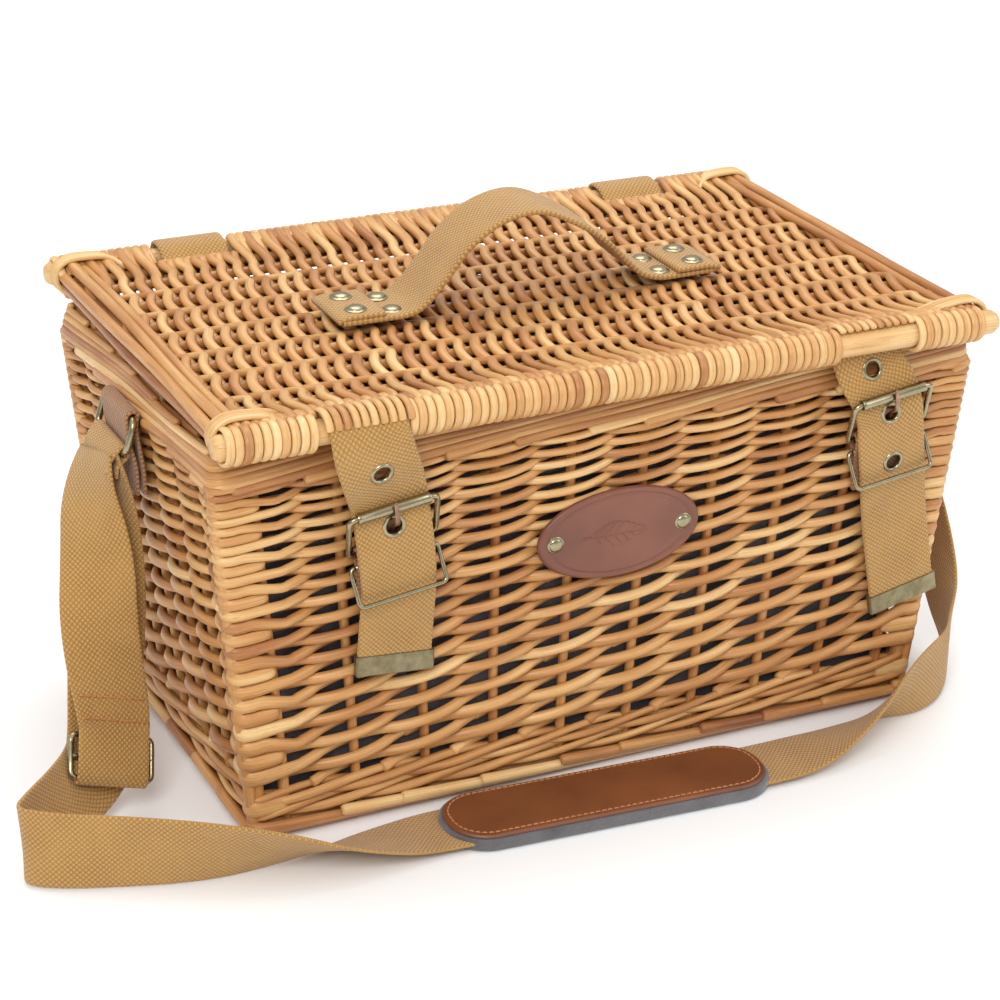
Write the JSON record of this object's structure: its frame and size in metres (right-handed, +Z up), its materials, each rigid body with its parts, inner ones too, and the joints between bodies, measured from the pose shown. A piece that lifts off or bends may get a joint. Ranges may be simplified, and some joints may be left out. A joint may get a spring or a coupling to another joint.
{
  "type": "wicker picnic basket",
  "caption": "Lidded woven-willow picnic basket with buckled webbing straps, carry handle, side rings and a padded shoulder strap.",
  "frame": {"origin": "middle of the base's underside", "axes": "+Z up, +X along the length, -Y towards the side with the buckles"},
  "size_m": [0.55, 0.314, 0.2813],
  "materials": {
    "willow_light": "varnished",
    "willow_rods": "varnished",
    "webbing": "woven",
    "antique_brass": "antique satin",
    "patch_leather": "smooth",
    "pad_leather": "smooth",
    "felt": "felt",
    "lining_cloth": "plain weave"
  },
  "bodies": {
    "basket": {"base_panel": "willow_rods", "foot_border": "willow_rods", "front_wall": "willow_light", "back_wall": "willow_light", "left_wall": "willow_light", "right_wall": "willow_light", "corner_posts": "willow_rods", "top_border": "willow_rods", "fabric_lining": "lining_cloth", "name_patch": "patch_leather", "patch_rivets": "antique_brass", "left_ring_tab": "webbing", "right_ring_tab": "webbing", "left_buckle_tab": "webbing", "right_buckle_tab": "webbing", "left_hinge_strap": "webbing", "right_hinge_strap": "webbing", "shoulder_strap_left_drop": "webbing", "shoulder_strap_left_floor": "webbing", "shoulder_strap_pad_run": "webbing", "shoulder_strap_right_floor": "webbing", "shoulder_strap_right_rise": "webbing", "shoulder_strap_return_ply": "webbing"},
    "lid": {"lid_front_rail": "willow_rods", "lid_back_rail": "willow_rods", "lid_stakes": "willow_rods", "lid_weave": "willow_light", "lid_side_rods": "willow_rods", "lid_corner_ties": "willow_rods", "carry_handle": "webbing", "handle_end_tabs": "webbing", "handle_rivets": "antique_brass"},
    "left_closure": {"left_closure_strap": "webbing", "left_eyelets": "antique_brass", "left_strap_tip": "antique_brass"},
    "left_buckle": {"left_buckle_frame": "antique_brass"},
    "left_roller": {"left_buckle_roller": "antique_brass"},
    "left_prong": {"left_buckle_prong": "antique_brass"},
    "left_keeper": {"left_buckle_keeper": "antique_brass"},
    "left_ring": {"left_ring": "antique_brass"},
    "right_closure": {"right_closure_strap": "webbing", "right_eyelets": "antique_brass", "right_strap_tip": "antique_brass"},
    "right_buckle": {"right_buckle_frame": "antique_brass"},
    "right_roller": {"right_buckle_roller": "antique_brass"},
    "right_prong": {"right_buckle_prong": "antique_brass"},
    "right_keeper": {"right_buckle_keeper": "antique_brass"},
    "right_ring": {"right_ring": "antique_brass"},
    "adjuster": {"strap_adjuster": "antique_brass"},
    "shoulder_pad": {"pad_felt": "felt", "pad_leather": "pad_leather"}
  },
  "joints": [
    {"name": "lid_hinge", "type": "hinge", "parent": "basket", "child": "lid", "pos_m": [0, 0.1225, 0.215], "axis": [-1, 0, 0], "range_deg": [0, 100], "deforming": ["left_hinge_strap", "right_hinge_strap", "left_closure_strap", "left_eyelets", "left_strap_tip", "right_closure_strap", "right_eyelets", "right_strap_tip"]},
    {"name": "left_strap_hang", "type": "hinge", "parent": "lid", "child": "left_closure", "pos_m": [-0.14, -0.13, 0.225], "axis": [-1, 0, 0], "range_deg": [-75, 0], "deforming": ["left_closure_strap", "left_eyelets", "left_strap_tip"]},
    {"name": "left_buckle_turn", "type": "hinge", "parent": "basket", "child": "left_buckle", "pos_m": [-0.1223, -0.12295, 0.1578], "axis": [0.9903, -0.0057, 0.1391], "range_deg": [0, 60], "deforming": ["left_closure_strap", "left_eyelets", "left_strap_tip"]},
    {"name": "left_roller_spin", "type": "hinge", "parent": "left_buckle", "child": "left_roller", "pos_m": [-0.12564, -0.13291, 0.18118], "axis": [0.9903, -0.0057, 0.1391], "continuous": true},
    {"name": "left_prong_turn", "type": "hinge", "parent": "left_buckle", "child": "left_prong", "pos_m": [-0.1223, -0.12295, 0.1578], "axis": [0.9903, -0.0057, 0.1391], "range_deg": [0, 60], "deforming": ["left_closure_strap", "left_eyelets", "left_strap_tip"]},
    {"name": "left_keeper_turn", "type": "hinge", "parent": "basket", "child": "left_keeper", "pos_m": [-0.12133, -0.12266, 0.15087], "axis": [-0.9903, 0.0057, -0.1391], "range_deg": [0, 50], "deforming": ["left_closure_strap", "left_eyelets", "left_strap_tip"]},
    {"name": "right_strap_hang", "type": "hinge", "parent": "lid", "child": "right_closure", "pos_m": [0.14, -0.13, 0.225], "axis": [-1, 0, 0], "range_deg": [-75, 0], "deforming": ["right_closure_strap", "right_eyelets", "right_strap_tip"]},
    {"name": "right_buckle_turn", "type": "hinge", "parent": "basket", "child": "right_buckle", "pos_m": [0.1565, -0.1235, 0.1708], "axis": [0.9903, -0.0057, 0.1391], "range_deg": [0, 60], "deforming": ["right_closure_strap", "right_eyelets", "right_strap_tip"]},
    {"name": "right_roller_spin", "type": "hinge", "parent": "right_buckle", "child": "right_roller", "pos_m": [0.15316, -0.13344, 0.19418], "axis": [0.9903, -0.0057, 0.1391], "continuous": true},
    {"name": "right_prong_turn", "type": "hinge", "parent": "right_buckle", "child": "right_prong", "pos_m": [0.1565, -0.1235, 0.1708], "axis": [0.9903, -0.0057, 0.1391], "range_deg": [0, 60], "deforming": ["right_closure_strap", "right_eyelets", "right_strap_tip"]},
    {"name": "right_keeper_turn", "type": "hinge", "parent": "basket", "child": "right_keeper", "pos_m": [0.15747, -0.12319, 0.16387], "axis": [-0.9903, 0.0057, -0.1391], "range_deg": [0, 50], "deforming": ["right_closure_strap", "right_eyelets", "right_strap_tip"]},
    {"name": "left_ring_swing", "type": "hinge", "parent": "basket", "child": "left_ring", "pos_m": [-0.2165, 0, 0.1985], "axis": [0, 1, 0], "range_deg": [0, 90], "deforming": ["shoulder_strap_left_drop", "shoulder_strap_return_ply"]},
    {"name": "right_ring_swing", "type": "hinge", "parent": "basket", "child": "right_ring", "pos_m": [0.2165, 0, 0.1985], "axis": [0, -1, 0], "range_deg": [0, 90], "deforming": ["shoulder_strap_right_rise"]},
    {"name": "adjuster_slide", "type": "slide", "parent": "basket", "child": "adjuster", "axis": [0.2324, 0.5801, 0.7807], "range_m": [0, 0.02], "deforming": ["shoulder_strap_left_drop", "shoulder_strap_left_floor", "shoulder_strap_return_ply"]},
    {"name": "pad_slide", "type": "slide", "parent": "basket", "child": "shoulder_pad", "axis": [1, 0, 0], "range_m": [-0.01, 0.01], "deforming": ["shoulder_strap_left_floor", "shoulder_strap_right_floor"]}
  ],
  "couplings": [
    {"joint": "left_strap_hang", "follows": "lid_hinge", "ratio": -0.75},
    {"joint": "right_strap_hang", "follows": "lid_hinge", "ratio": -0.75}
  ]
}
